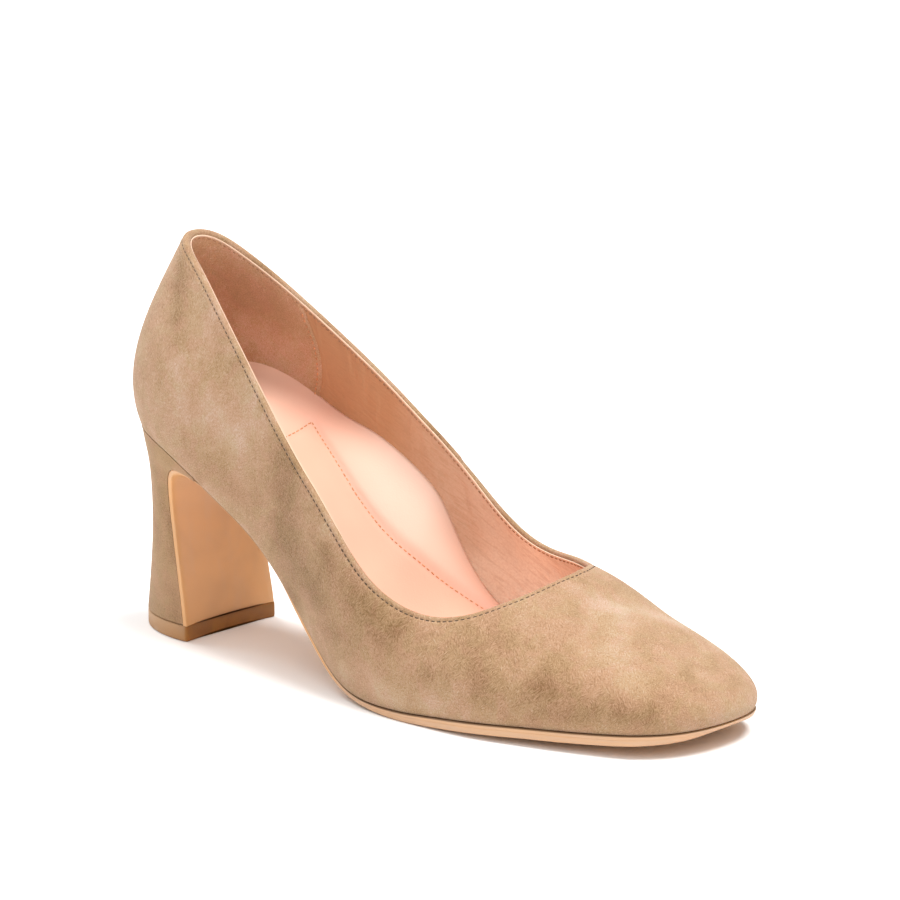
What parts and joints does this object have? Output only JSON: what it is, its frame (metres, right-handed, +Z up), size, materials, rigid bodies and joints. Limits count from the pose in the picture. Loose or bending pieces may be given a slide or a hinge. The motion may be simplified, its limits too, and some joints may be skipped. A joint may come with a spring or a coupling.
{
  "type": "block heel shoe",
  "caption": "Women's slip-on pump with a square toe, low-cut throat, suede upper, contoured footbed, leather outsole and a high covered block heel with a top lift.",
  "frame": {"origin": "on the floor under the middle of the shoe's box", "axes": "+X from heel to toe, +Y to the inner side of the foot, +Z up"},
  "size_m": [0.2236, 0.0758, 0.1234],
  "materials": {
    "suede": "matt suede nap",
    "sole_leather": "smooth sole leather",
    "heel_suede": "matt suede nap",
    "lift_rubber": "matt",
    "footbed_leather": "smooth lining leather"
  },
  "bodies": {
    "root": {"upper": "suede", "outsole": "sole_leather", "heel": "heel_suede", "top_lift": "lift_rubber", "insole": "footbed_leather"}
  },
  "joints": []
}
